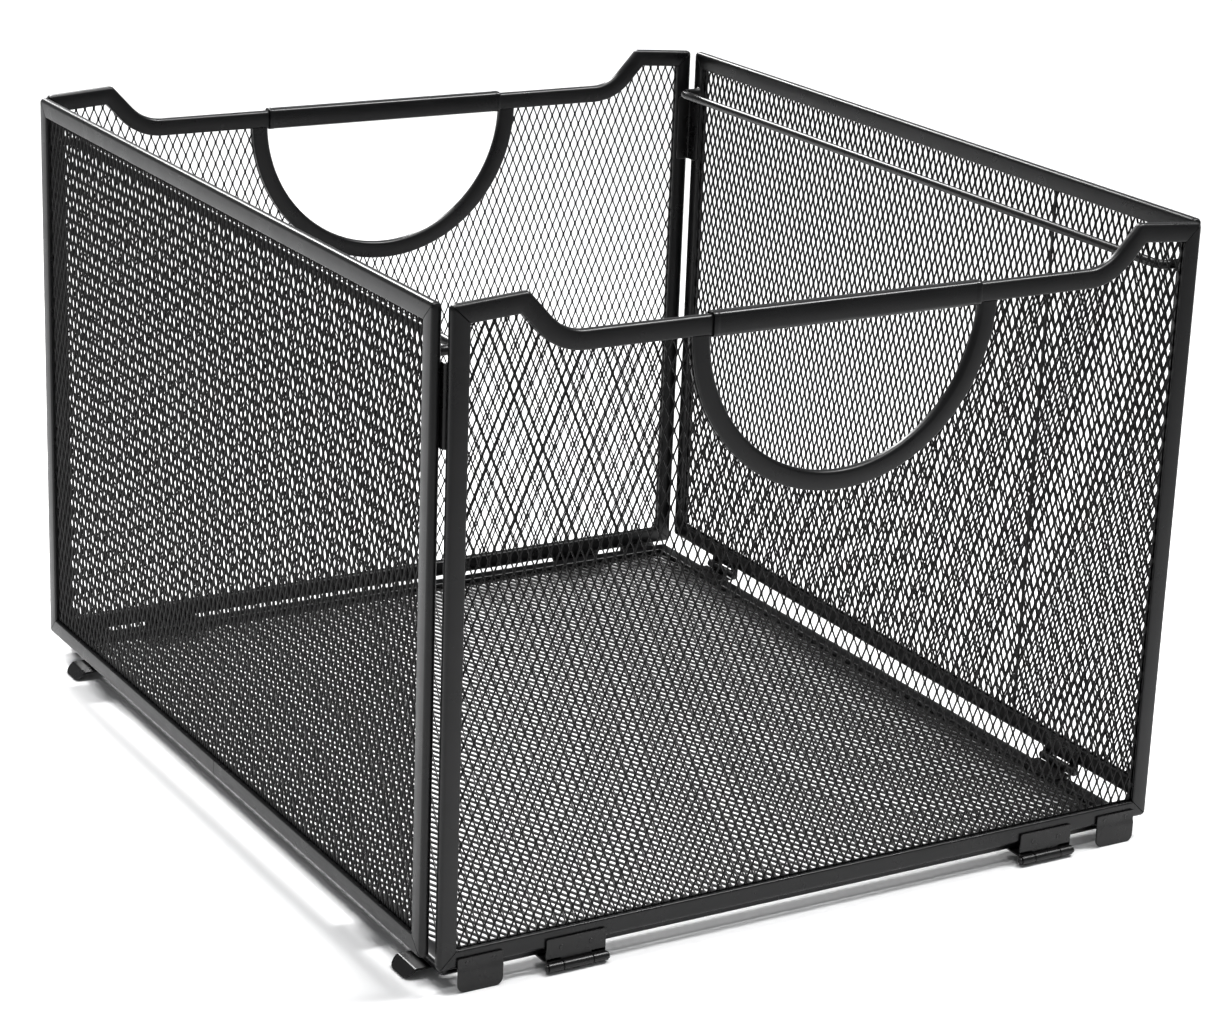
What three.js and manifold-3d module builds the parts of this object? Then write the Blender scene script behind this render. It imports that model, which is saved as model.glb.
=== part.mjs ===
// Hanging file rack: a collapsible crate of black expanded-metal mesh for suspension files.
//
// A flat base carries four hinged walls. The two end panels have a dropped handle bar over a
// D-shaped hand hole and swing outward until they lie on the table. The two side panels carry
// the file rails and fold inward onto the base. Every panel is a channel-rimmed sheet of mesh.
//
// Units are millimetres. +X is the right-hand side, +Y the back and +Z up. The origin is on the
// table, at the centre of the footprint.

import * as THREE from 'three';
import { mergeVertices } from 'three/addons/utils/BufferGeometryUtils.js';
import Module from 'manifold-3d';

const wasm = await Module();
wasm.setup();

// ---------------------------------------------------------------- driving dimensions

const END_WIDTH = 350;            // an end panel, side edge to side edge
const DEPTH = 409;                // over the outer faces of the two end panels
const END_BOTTOM = 9.8;           // lower edge of an end panel
const END_CORNER_TOP = 277;       // upper corner of an end panel
const SIDE_BOTTOM = 14;           // lower edge of a side panel
const SIDE_TOP = 277;             // upper edge of a side panel
const SIDE_LENGTH = 397;          // a side panel, front edge to back edge
const SIDE_SPREAD = 360;          // over the outer faces of the two side panels
const BASE_BOTTOM = 5;            // underside of the base
const BASE_WIDTH = 342;
const BASE_DEPTH = 398.8;

const RIM_WIDTH = 8;              // face of the folded channel round every panel
const RIM_THICKNESS = 4.4;
const RIM_ROUNDING = 1.1;         // rounded edge of the channel
const CORNER_RADIUS = 2.2;        // panel corners
const MESH_THICKNESS = 0.6;
const FIT_GAP = 0.3;              // kept between pieces that touch

const EAR_LENGTH = 32.2;          // raised corner of an end panel, up to where the drop starts
const EAR_RISE = 2.4;             // the ear climbs this much from the corner to the drop
const DROP_ANGLE = 47;            // slope of the drop, in degrees
const DROP_FILLET = 20;           // where the drop runs into the handle bar
const EAR_FILLET = 3;
const BAR_TOP = 262.2;            // top edge of the handle bar

const HOLE_RADIUS = 63.4;          // hand hole, inside its trim
const TRIM_WIDTH = 8.1;
const HOLE_CENTRE_Z = 255.5;
const TRIM_END_Z = 253.9;         // the trim's two legs stop just under the bar
const GRIP_LENGTH = 126;
const GRIP_WALL = 0.7;

const RAIL_SPACING = 330;         // between the two file rails, the A4 suspension file size
const RAIL_HEIGHT = 257;
const RAIL_DIAMETER = 4;
const RAIL_STUB_INSET = 6;        // rail ends, from the side panel's edges

const BRACKET_BOTTOM = 221;
const BRACKET_TOP = 254;
const BRACKET_OVERLAP = 7.5;      // each flange, along the rim that it lies on

const SHEET = 0.9;                // hinge leaves and the base feet
const FOOT_SHEET = 1.2;
const END_FOOT_WIDTH = 20;
const END_FOOT_TOP = 14.6;
const FOOT_CORNER = 4;            // rounded lower corners of every foot
const BASE_FOOT_REACH = 177.5;    // outer face of the base feet, from the middle plane
const BASE_FOOT_LENGTH = 18;
const BASE_FOOT_WIDTH = 16;
const BASE_FOOT_AT = { front: -180, back: 170 };           // places along each side

const KNUCKLE_RADIUS = 2;
const BORE_RADIUS = 1;
const PIN_RADIUS = 0.7;
const PIN_HEAD_RADIUS = 1.5;
const PIN_HEAD = 0.6;
const END_HINGE_AXIS_Z = 2.7;
const END_HINGE = { at: { left: -114, right: 119 }, width: 27, leafHeight: 11.6, baseReach: 16 };
const SIDE_HINGE = { at: { front: -144, back: 144 }, width: 24, leafHeight: 10, baseReach: 11 };

// ---------------------------------------------------------------- worked-out places

const BAR_BOTTOM = BAR_TOP - RIM_WIDTH;
const BASE_TOP = BASE_BOTTOM + RIM_THICKNESS;
const END_MID = DEPTH / 2 - RIM_THICKNESS / 2;             // mid-plane of an end panel
const END_INNER = DEPTH / 2 - RIM_THICKNESS;
const SIDE_MID = SIDE_SPREAD / 2 - RIM_THICKNESS / 2;      // mid-plane of a side panel
const SIDE_INNER = SIDE_SPREAD / 2 - RIM_THICKNESS;

// Each wall is made as if it were the front one: x along the wall, y pointing inward, z up.
// It is then turned about Z into its place. A wall's ends are named as they lie on the rack, the
// one at the lower coordinate first, and 'flow' says which way the wall's own x runs past them.
const WALLS = {
  front: { turn: 0, flow: 1, ends: ['left', 'right'] },
  right: { turn: Math.PI / 2, flow: 1, ends: ['front', 'back'] },
  back: { turn: Math.PI, flow: -1, ends: ['left', 'right'] },
  left: { turn: -Math.PI / 2, flow: -1, ends: ['front', 'back'] },
};

// ---------------------------------------------------------------- materials

const paint = (color, roughness, metalness) =>
  new THREE.MeshStandardMaterial({ color, roughness, metalness });

const BLACK_RIM = () => paint(0x17171a, 0.42, 0.25);
const BLACK_MESH = () => paint(0x1b1b1e, 0.5, 0.25);
const BLACK_GRIP = () => paint(0x0e0e10, 0.32, 0.0);
const BLACK_HARDWARE = () => paint(0x1f1f22, 0.38, 0.35);

// ---------------------------------------------------------------- outlines

// Moves every side of a closed outline inward by a distance. Corners run anticlockwise.
function inset(corners, distance) {
  const sides = corners.map((corner, i) => {
    const next = corners[(i + 1) % corners.length];
    const along = next.clone().sub(corner).normalize();
    const inward = new THREE.Vector2(-along.y, along.x).multiplyScalar(distance);
    return { point: corner.clone().add(inward), along };
  });
  return sides.map((side, i) => {
    const before = sides[(i + sides.length - 1) % sides.length];
    const gap = side.point.clone().sub(before.point);
    const step = gap.cross(side.along) / before.along.cross(side.along);
    return before.point.clone().addScaledVector(before.along, step);
  });
}

// Adds a closed outline to a path, with an arc of its own radius at each corner.
function trace(path, corners, radii) {
  corners.forEach((corner, i) => {
    const before = corners[(i + corners.length - 1) % corners.length];
    const after = corners[(i + 1) % corners.length];
    const back = before.clone().sub(corner).normalize();
    const on = after.clone().sub(corner).normalize();
    const half = Math.acos(back.dot(on)) / 2;
    const reach = radii[i] / Math.tan(half);
    const start = corner.clone().addScaledVector(back, reach);
    if (i === 0) {
      path.moveTo(start.x, start.y);
    } else {
      path.lineTo(start.x, start.y);
    }
    if (radii[i] > 0) {
      const middle = back.clone().add(on).normalize();
      const centre = corner.clone().addScaledVector(middle, radii[i] / Math.sin(half));
      const end = corner.clone().addScaledVector(on, reach);
      const from = Math.atan2(start.y - centre.y, start.x - centre.x);
      const to = Math.atan2(end.y - centre.y, end.x - centre.x);
      path.absarc(centre.x, centre.y, radii[i], from, to, back.cross(on) > 0);
    }
  });
  path.closePath();
  return path;
}

function rectangle(left, bottom, right, top) {
  return [
    new THREE.Vector2(left, bottom),
    new THREE.Vector2(right, bottom),
    new THREE.Vector2(right, top),
    new THREE.Vector2(left, top),
  ];
}

// Corners of an end panel, anticlockwise from its bottom left.
function endPanelCorners() {
  const half = END_WIDTH / 2;
  const earX = half - EAR_LENGTH;
  const earZ = END_CORNER_TOP + EAR_RISE;
  const barX = earX - (earZ - BAR_TOP) / Math.tan(THREE.MathUtils.degToRad(DROP_ANGLE));
  return [
    new THREE.Vector2(-half, END_BOTTOM),
    new THREE.Vector2(half, END_BOTTOM),
    new THREE.Vector2(half, END_CORNER_TOP),
    new THREE.Vector2(earX, earZ),
    new THREE.Vector2(barX, BAR_TOP),
    new THREE.Vector2(-barX, BAR_TOP),
    new THREE.Vector2(-earX, earZ),
    new THREE.Vector2(-half, END_CORNER_TOP),
  ];
}

// Corner radii of an end panel at some distance inside its outer edge.
function endPanelRadii(distance) {
  const corner = distance > 0 ? 0 : CORNER_RADIUS;
  const ear = distance > 0 ? 0 : EAR_FILLET;
  const drop = DROP_FILLET + distance;
  return [corner, corner, corner, ear, drop, drop, ear, corner];
}

// ---------------------------------------------------------------- solids

// A flat piece: the outline extruded about its mid-plane, with its long edges rounded.
function slab(shape, thickness, rounding = 0, curveSegments = 5) {
  const geometry = new THREE.ExtrudeGeometry(shape, {
    depth: thickness - 2 * rounding,
    bevelEnabled: rounding > 0,
    bevelThickness: rounding,
    bevelSize: rounding,
    bevelOffset: -rounding,
    bevelSegments: 2,
    curveSegments,
  });
  return geometry.translate(0, 0, rounding - thickness / 2);
}

// The same piece stood up: the outline's y becomes height, and its thickness lies along Y.
const upright = (geometry) => geometry.rotateX(Math.PI / 2);

// A box from its low to its high corner.
function block(x0, y0, z0, x1, y1, z1) {
  const geometry = new THREE.BoxGeometry(x1 - x0, y1 - y0, z1 - z0);
  return geometry.translate((x0 + x1) / 2, (y0 + y1) / 2, (z0 + z1) / 2);
}

function toManifold(geometry) {
  const bare = geometry.clone();
  bare.deleteAttribute('normal');
  bare.deleteAttribute('uv');
  const merged = mergeVertices(bare, 1e-4);
  return new wasm.Manifold(new wasm.Mesh({
    numProp: 3,
    vertProperties: new Float32Array(merged.attributes.position.array),
    triVerts: new Uint32Array(merged.index.array),
  }));
}

function fromManifold(solid) {
  const mesh = solid.getMesh();
  const geometry = new THREE.BufferGeometry();
  geometry.setAttribute('position', new THREE.BufferAttribute(mesh.vertProperties, 3));
  geometry.setIndex(new THREE.BufferAttribute(mesh.triVerts, 1));
  geometry.computeVertexNormals();
  return geometry;
}

function join(geometries) {
  return fromManifold(geometries.map(toManifold).reduce((sum, piece) => sum.add(piece)));
}

function cut(geometry, tool) {
  return fromManifold(toManifold(geometry).subtract(toManifold(tool)));
}

function piece(name, geometry, material) {
  const mesh = new THREE.Mesh(geometry, material);
  mesh.name = name;
  return mesh;
}

// ---------------------------------------------------------------- panels

// The channel round a panel: its outline with the opening cut out of it.
function rimShape(corners, radii, innerRadii) {
  const shape = trace(new THREE.Shape(), corners, radii);
  shape.holes.push(trace(new THREE.Path(), inset(corners, RIM_WIDTH), innerRadii));
  return shape;
}

function rectangleRim(corners) {
  return rimShape(corners, Array(4).fill(CORNER_RADIUS), Array(4).fill(0));
}

function rectangleMesh(corners) {
  const edge = inset(corners, RIM_WIDTH + FIT_GAP);
  return slab(trace(new THREE.Shape(), edge, Array(4).fill(0)), MESH_THICKNESS);
}

// The mesh of an end panel stops at the outside of the hand hole's trim.
function endMesh() {
  const distance = RIM_WIDTH + FIT_GAP;
  const edge = inset(endPanelCorners(), distance);
  const sheet = slab(trace(new THREE.Shape(), edge, endPanelRadii(distance)), MESH_THICKNESS);
  const radius = HOLE_RADIUS + TRIM_WIDTH + FIT_GAP;
  const hole = new THREE.CylinderGeometry(radius, radius, 2 * RIM_THICKNESS, 48);
  return cut(sheet, hole.rotateX(Math.PI / 2).translate(0, HOLE_CENTRE_Z, 0));
}

function handleTrim() {
  const outer = HOLE_RADIUS + TRIM_WIDTH;
  const drop = HOLE_CENTRE_Z - TRIM_END_Z;
  const outerStart = -Math.asin(drop / outer);
  const innerStart = -Math.asin(drop / HOLE_RADIUS);
  const shape = new THREE.Shape();
  shape.absarc(0, HOLE_CENTRE_Z, outer, outerStart, -Math.PI - outerStart, true);
  shape.absarc(0, HOLE_CENTRE_Z, HOLE_RADIUS, -Math.PI - innerStart, innerStart, false);
  shape.closePath();
  return upright(slab(shape, RIM_THICKNESS, RIM_ROUNDING, 16));
}

// A sleeve round the handle bar, between the legs of the trim.
function gripSleeve() {
  const halfThick = RIM_THICKNESS / 2 + FIT_GAP;
  const low = BAR_BOTTOM - FIT_GAP;
  const high = BAR_TOP + FIT_GAP;
  const bore = rectangle(-halfThick, low, halfThick, high);
  const shape = trace(new THREE.Shape(), inset(bore, -GRIP_WALL), Array(4).fill(2));
  shape.holes.push(trace(new THREE.Path(), bore, Array(4).fill(0)));
  return slab(shape, GRIP_LENGTH, 0, 2).rotateX(Math.PI / 2).rotateZ(Math.PI / 2);
}

function endFoot(x) {
  const shape = trace(
    new THREE.Shape(),
    rectangle(x - END_FOOT_WIDTH / 2, 0, x + END_FOOT_WIDTH / 2, END_FOOT_TOP),
    [FOOT_CORNER, FOOT_CORNER, 0.6, 0.6],
  );
  return upright(slab(shape, FOOT_SHEET, 0, 3));
}

// ---------------------------------------------------------------- hinges

// A hinge along X, centred on x = 0. The panel leaf rises from one side of the barrel: panelSide
// is -1 outside the pin and +1 inside it. The base leaf runs inward from the top of the barrel,
// baseSide +1, or from its bottom, -1. The panel has the two outer knuckles, the base the middle.
function hingeLeaves({ width, leafHeight, baseReach }, panelSide, baseSide) {
  const half = width / 2;
  const quarter = width / 4;
  const clear = KNUCKLE_RADIUS + 2 * FIT_GAP;
  const strip = (side) => [side * (KNUCKLE_RADIUS - SHEET), side * KNUCKLE_RADIUS].sort((a, b) => a - b);

  const knuckle = (x0, x1) => {
    const ring = new THREE.Shape().absarc(0, 0, KNUCKLE_RADIUS, 0, 2 * Math.PI, false);
    ring.holes.push(new THREE.Path().absarc(0, 0, BORE_RADIUS, 0, 2 * Math.PI, true));
    const tube = slab(ring, x1 - x0, 0, 8).rotateY(Math.PI / 2);
    return tube.translate((x0 + x1) / 2, 0, 0);
  };

  const [y0, y1] = strip(panelSide);
  const panelLeaf = join([
    block(-half, y0, clear, half, y1, leafHeight),
    ...[[-half, -quarter - FIT_GAP / 2], [quarter + FIT_GAP / 2, half]].flatMap(([x0, x1]) => [
      knuckle(x0, x1),
      block(x0, y0, 0, x1, y1, clear + 1),
    ]),
  ]);

  const [z0, z1] = strip(baseSide);
  const inner = quarter - FIT_GAP / 2;
  const baseLeaf = join([
    block(-half, clear, z0, half, baseReach, z1),
    knuckle(-inner, inner),
    block(-inner, 0, z0, inner, clear + 1, z1),
  ]);
  return { panelLeaf, baseLeaf };
}

// A round pin with a flat head at each end.
function hingePin(width) {
  const shaft = width / 2 + FIT_GAP;
  const end = shaft + PIN_HEAD;
  const profile = [
    [0, -end], [PIN_HEAD_RADIUS, -end], [PIN_HEAD_RADIUS, -shaft], [PIN_RADIUS, -shaft],
    [PIN_RADIUS, shaft], [PIN_HEAD_RADIUS, shaft], [PIN_HEAD_RADIUS, end], [0, end],
  ].map(([r, along]) => new THREE.Vector2(r, along));
  return new THREE.LatheGeometry(profile, 12).rotateZ(Math.PI / 2);
}

// Adds the two hinges of a wall, in the wall's own directions.
function addHinges(group, wall, spec, y, z, panelSide, baseSide) {
  const { flow, ends } = WALLS[wall];
  for (const end of ends) {
    const { panelLeaf, baseLeaf } = hingeLeaves(spec, panelSide, baseSide);
    const place = new THREE.Group();
    place.position.set(flow * spec.at[end], y, z);
    place.add(
      piece(`${wall}_hinge_${end}_panel_leaf`, panelLeaf, BLACK_HARDWARE()),
      piece(`${wall}_hinge_${end}_base_leaf`, baseLeaf, BLACK_HARDWARE()),
      piece(`${wall}_hinge_${end}_pin`, hingePin(spec.width), BLACK_HARDWARE()),
    );
    group.add(place);
  }
}

// ---------------------------------------------------------------- side panel fittings

// A rod that follows straight runs, with a ball at each bend.
function bentRod(points, diameter) {
  const up = new THREE.Vector3(0, 1, 0);
  const runs = points.slice(1).map((end, i) => {
    const along = end.clone().sub(points[i]);
    const rod = new THREE.CylinderGeometry(diameter / 2, diameter / 2, along.length(), 12);
    const turn = new THREE.Quaternion().setFromUnitVectors(up, along.clone().normalize());
    const middle = end.clone().add(points[i]).multiplyScalar(0.5);
    return rod.applyQuaternion(turn).translate(middle.x, middle.y, middle.z);
  });
  const bends = points.slice(1, -1).map((p) =>
    new THREE.SphereGeometry(diameter / 2, 12, 6).translate(p.x, p.y, p.z));
  return join([...runs, ...bends]);
}

function fileRail() {
  const x = SIDE_LENGTH / 2 - RAIL_STUB_INSET;
  const wallY = -(SIDE_INNER - FIT_GAP);
  const railY = -RAIL_SPACING / 2;
  return bentRod([
    new THREE.Vector3(-x, wallY, RAIL_HEIGHT),
    new THREE.Vector3(-x, railY, RAIL_HEIGHT),
    new THREE.Vector3(x, railY, RAIL_HEIGHT),
    new THREE.Vector3(x, wallY, RAIL_HEIGHT),
  ], RAIL_DIAMETER);
}

// An angle strip: one flange on the side panel's stile, the other behind the end panel's.
function cornerBracket(sign) {
  const stileY = -(SIDE_INNER - FIT_GAP);
  const endX = END_INNER - FIT_GAP;
  const corners = [
    [SIDE_LENGTH / 2 - BRACKET_OVERLAP, stileY],
    [endX, stileY],
    [endX, stileY + BRACKET_OVERLAP],
    [endX - SHEET, stileY + BRACKET_OVERLAP],
    [endX - SHEET, stileY + SHEET],
    [SIDE_LENGTH / 2 - BRACKET_OVERLAP, stileY + SHEET],
  ].map(([x, y]) => new THREE.Vector2(sign * x, y));
  const outline = sign > 0 ? corners : corners.reverse();
  const height = BRACKET_TOP - BRACKET_BOTTOM;
  const middle = (BRACKET_TOP + BRACKET_BOTTOM) / 2;
  return slab(new THREE.Shape(outline), height).translate(0, 0, middle);
}

// A strip under the base whose outer end is bent down to the table.
function baseFoot() {
  const half = BASE_FOOT_WIDTH / 2;
  const top = BASE_BOTTOM - FIT_GAP;
  const outer = -BASE_FOOT_REACH;
  const lip = trace(
    new THREE.Shape(),
    rectangle(-half, 0, half, top),
    [FOOT_CORNER, FOOT_CORNER, 0, 0],
  );
  return join([
    block(-half, outer, top - SHEET, half, outer + BASE_FOOT_LENGTH, top),
    upright(slab(lip, SHEET, 0, 3)).translate(0, outer + SHEET / 2, 0),
  ]);
}

// ---------------------------------------------------------------- walls and base

function endWall(wall) {
  const { turn, flow, ends } = WALLS[wall];
  const group = new THREE.Group();
  const panel = new THREE.Group();
  panel.position.y = -END_MID;
  const corners = endPanelCorners();
  const rim = rimShape(corners, endPanelRadii(0), endPanelRadii(RIM_WIDTH));
  panel.add(
    piece(`${wall}_frame`, upright(slab(rim, RIM_THICKNESS, RIM_ROUNDING)), BLACK_RIM()),
    piece(`${wall}_mesh`, upright(endMesh()), BLACK_MESH()),
    piece(`${wall}_handle_trim`, handleTrim(), BLACK_RIM()),
    piece(`${wall}_handle_grip`, gripSleeve(), BLACK_GRIP()),
  );
  const footX = END_WIDTH / 2 - RIM_WIDTH - END_FOOT_WIDTH / 2;
  const footY = -(RIM_THICKNESS / 2 + FIT_GAP + FOOT_SHEET / 2);
  ends.forEach((end, i) => {
    const x = flow * (i === 0 ? -footX : footX);
    const foot = piece(`${wall}_foot_${end}`, endFoot(x), BLACK_HARDWARE());
    foot.position.y = footY;
    panel.add(foot);
  });
  const pinY = -(DEPTH / 2 + FIT_GAP + KNUCKLE_RADIUS);
  addHinges(group, wall, END_HINGE, pinY, END_HINGE_AXIS_Z, 1, 1);
  group.add(panel);
  group.rotation.z = turn;
  return group;
}

function sideWall(wall) {
  const { turn, flow, ends } = WALLS[wall];
  const group = new THREE.Group();
  const half = SIDE_LENGTH / 2;
  const corners = rectangle(-half, SIDE_BOTTOM, half, SIDE_TOP);
  const rim = slab(rectangleRim(corners), RIM_THICKNESS, RIM_ROUNDING);
  const frame = piece(`${wall}_frame`, upright(rim), BLACK_RIM());
  const mesh = piece(`${wall}_mesh`, upright(rectangleMesh(corners)), BLACK_MESH());
  frame.position.y = -SIDE_MID;
  mesh.position.y = -SIDE_MID;
  group.add(frame, mesh);
  group.add(piece(`${wall}_file_rail`, fileRail(), BLACK_HARDWARE()));
  ends.forEach((end, i) => {
    const sign = flow * (i === 0 ? -1 : 1);
    const foot = piece(`base_foot_${wall}_${end}`, baseFoot(), BLACK_HARDWARE());
    foot.position.x = flow * BASE_FOOT_AT[end];
    group.add(foot, piece(`${wall}_bracket_${end}`, cornerBracket(sign), BLACK_HARDWARE()));
  });
  const pinY = -(SIDE_INNER - FIT_GAP - KNUCKLE_RADIUS);
  const pinZ = BASE_TOP + FIT_GAP + KNUCKLE_RADIUS;
  addHinges(group, wall, SIDE_HINGE, pinY, pinZ, -1, -1);
  group.rotation.z = turn;
  return group;
}

function base() {
  const group = new THREE.Group();
  const corners = rectangle(-BASE_WIDTH / 2, -BASE_DEPTH / 2, BASE_WIDTH / 2, BASE_DEPTH / 2);
  group.add(
    piece('base_frame', slab(rectangleRim(corners), RIM_THICKNESS, RIM_ROUNDING), BLACK_RIM()),
    piece('base_mesh', rectangleMesh(corners), BLACK_MESH()),
  );
  group.position.z = BASE_BOTTOM + RIM_THICKNESS / 2;
  return group;
}

const rack = new THREE.Group();
rack.add(base(), endWall('front'), endWall('back'), sideWall('left'), sideWall('right'));

export default rack;
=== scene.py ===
"""Hanging file rack: a collapsible crate of black powder-coated expanded metal, seen empty.

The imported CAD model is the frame. Every visible piece is rebuilt here as finer geometry round it: the
folded channels with their mitres, the expanded metal itself, the hand-hole trims, grips, rails, corner
brackets, hinges and feet. One more piece, the join in the right panel's mesh, has no CAD node. Small
sizes are in millimetres and become metres as a piece is made.
"""

import math

import bmesh
import bpy
import numpy as np
from mathutils import Matrix, Vector


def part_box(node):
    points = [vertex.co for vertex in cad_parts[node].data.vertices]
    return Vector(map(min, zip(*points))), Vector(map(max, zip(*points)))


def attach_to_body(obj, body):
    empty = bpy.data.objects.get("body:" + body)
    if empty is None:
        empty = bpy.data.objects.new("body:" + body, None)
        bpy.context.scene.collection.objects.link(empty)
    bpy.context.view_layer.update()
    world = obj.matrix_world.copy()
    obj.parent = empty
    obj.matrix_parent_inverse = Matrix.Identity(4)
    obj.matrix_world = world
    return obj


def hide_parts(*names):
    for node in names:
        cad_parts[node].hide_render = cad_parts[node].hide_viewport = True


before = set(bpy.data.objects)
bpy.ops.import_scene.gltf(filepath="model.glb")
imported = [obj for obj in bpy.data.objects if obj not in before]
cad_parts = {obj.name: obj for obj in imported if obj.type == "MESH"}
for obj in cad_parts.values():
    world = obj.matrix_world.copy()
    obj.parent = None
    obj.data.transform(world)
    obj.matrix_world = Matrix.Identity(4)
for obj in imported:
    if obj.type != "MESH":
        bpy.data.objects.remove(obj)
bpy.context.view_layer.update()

MM = 0.001

# ---------------------------------------------------------------- sizes, in millimetres

RIM_WIDTH = 8.0
CORNER_RADIUS = 2.2
EAR_RADIUS = 3.0
DROP_RADIUS = 20.0
EAR_LENGTH = 32.2                # raised corner of an end panel
EAR_RISE = 2.4
DROP_ANGLE = math.radians(47)
FOLD_RADIUS = 1.7                # outer fold of a channel
LIP_RADIUS = 0.8                 # inner edge of a channel
SLOT_HALF = 0.55                 # half the slot that the mesh goes into
SLOT_DEPTH = 1.6
GROOVE_HALF = 0.22               # half the width of a mitre line
GROOVE_SHRINK = 0.12             # how far the channel draws in at it, as a share

DIAMOND_WIDTH = 4.4
DIAMOND_HEIGHT = 10.4
STRAND_WIDTH = 0.42              # from hole to hole, looking square at the sheet
STRAND_THICKNESS = 0.5           # square to the twisted strand
BOND_HALF_HEIGHT = 0.55
BOND_HALF_WIDTH = 0.2
MESH_MARGIN = 0.9                # a sheet stops this far inside the outer edge of its rim
HOLE_MARGIN = 0.5                # and this far outside the hand hole

JOIN_PLACE = -103.0              # where the right panel's two lengths of mesh meet
JOIN_WIDTH = 1.5
JOIN_THICKNESS = 0.9
JOIN_CORNER = 0.3

HOLE_RADIUS = 63.4
TRIM_WIDTH = 8.1
TRIM_DROP = 1.6                  # from the top of the CAD trim's legs up to the hole's centre
TRIM_TOUCH = 1.2                 # the legs made here end this far under the centre
TRIM_STEPS = 72

GRIP_COVER = 1.0                 # the grip sleeve's top is this far above the handle bar's
GRIP_WALL = 0.8
GRIP_ROUND = 1.9
GRIP_LEAST_ROUND = 0.3
GRIP_END = [                     # (in from the sleeve's end, how far its section shrinks there)
    (0.5, GRIP_WALL), (0, GRIP_WALL * 0.8), (0, 0.3), (0.12, 0.08),
    (0.4, 0), (2.2, 0), (2.5, 0.12), (2.9, 0.12),
]

SHEET = 0.9                      # thickness of hinge leaves, brackets and base feet
EDGE = 0.16                      # softened edge of cut sheet
LOOK = 0.05                      # how far along its path a strip's direction is read, each way
WELD_SIDES = 16
WELD_PROFILE = [(1.25, -0.1), (1.0, 0.22), (0.775, 0.2), (0.2, 0.02)]   # (radius, height)

LEAF_CORNER = 0.5
LEAF_ROOT_CORNER = 0.3
LEAF_WELD_DROP = 4.2             # from the top of a leaf down to its weld marks
KNUCKLE_MID = 1.55               # middle of the rolled sheet round a hinge pin
KNUCKLE_GAP = 0.3
KNUCKLE_CLEAR = 2.12             # a leaf's full width ends this far from the pin's middle
KNUCKLE_LAP = 1.2                # its knuckles start this far up the leaf
KNUCKLE_FLAT = 0.5               # and are flat down to this far from the pin's middle
KNUCKLE_TURN = 325               # degrees that they turn round the pin
KNUCKLE_STEPS = 26
PIN_SIDES = 24
PIN_RADIUS = 0.7
PIN_HEAD = [(0, 0.35), (0.12, 1.0), (0.3, 1.5), (0.6, 1.5)]   # (in from the pin's end, radius)

FOOT_SHEET = 1.0                 # thickness of an end panel's foot
FOOT_TOP_CORNER = 0.6
FOOT_CORNER = 3.4
FOOT_JOG = 0.22                  # it steps out this far each way from its middle
FOOT_JOG_Z = 9.4                 # at this height, just under the rim
FOOT_JOG_HALF = 0.5              # over this height each way
FOOT_WELD_SIDE = 5.8
FOOT_WELD_DROP = 2.4

LIP_BEND = 1.3                   # a base foot's outer end bends down
LIP_SLOPE = 45                   # by this many degrees
LIP_CORNER = 4.6
BASE_FOOT_CORNER = 1.0

BRACKET_BEND = 1.0
BRACKET_CORNER = 1.5
BRACKET_WELD_SIDE = 3.4          # in from the edge of the flange
BRACKET_WELD_SHARES = (0.2, 0.8)

RAIL_SIDES = 20
RAIL_RADIUS = 2.0
RAIL_BEND = 5.0
RAIL_STUB = 1.0                  # straight start of a rail at its wall
RAIL_FILLET = 0.7                # weld round it there

# Each wall is made as if it were the front one, x along it, y pointing inward and z up, then turned.
TURNS = {"front": 0, "right": 90, "back": 180, "left": -90}
ENDS = {
    "front": ("left", "right"), "back": ("left", "right"),
    "left": ("front", "back"), "right": ("front", "back"),
}

# How far a strand's right edge lies behind the mid-plane, and its left edge in front of it.
TWISTS = {"front": -0.36, "right": 0.44, "back": -0.36, "left": 0.44, "base": -0.58}

# ---------------------------------------------------------------- looks

NOISE_RANGE = (0.3, 0.7)         # where most of a noise's values lie
PATCH_SCALE = 38                 # noise scales: patches of colour,
CLOUD_SCALE = 110                # clouds of gloss
GRAIN_SCALE = 1300               # and orange peel
PEEL_DEPTH = 0.06                # in millimetres
RAMP_ENDS = (0.34, 0.68)         # noise values that get a coat's dark and light colour
FLOOR_SCALE = 3
FLOOR_COLORS = ((0.90, 0.90, 0.905, 1), (0.93, 0.93, 0.93, 1))
FLOOR_GLOSS = (0.5, 0.6)         # range of roughness
FLOOR_SIZE = 14                  # in metres
SHARP_ANGLE = math.radians(35)

WORLD_COLOR = (0.97, 0.985, 1.0, 1)
WORLD_STRENGTH = 0.32
LIGHTS = [                       # name, place, aim, size, watts, spread in degrees
    ("lit_ceiling", (0.2, 2.0, 2.2), (0.2, 2.0, 0), (6.0, 5.2), 112, 60),
    ("right_softbox", (1.30, -0.32, 2.44), (0, 0, 0.14), (0.8, 0.8), 4.0, 40),
    ("back_softbox", (0.45, 3.3, 2.4), (0, 0, 0.2), (1.2, 1.2), 5, 30),
]

CAMERA_PLACE = (-0.70254, -1.20282, 0.57824)
CAMERA_AZIMUTH = math.radians(-30.994)
CAMERA_ELEVATION = math.radians(18.546)
CAMERA_ROLL = math.radians(2.240)
CAMERA_LENS = 94.284
SENSOR_WIDTH = 36                # in millimetres, as the lens is
CLIP_END = 50                    # in metres


# ---------------------------------------------------------------- places from the frame

def turn_of(wall):
    return Matrix.Rotation(math.radians(TURNS[wall]), 4, "Z")


def wall_box(node, wall):
    """Low and high corner of a CAD node in the wall's own directions, in millimetres."""
    back = turn_of(wall).inverted()
    corners = np.array([list(back @ corner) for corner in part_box(node)]) / MM
    return corners.min(0), corners.max(0)


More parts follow.
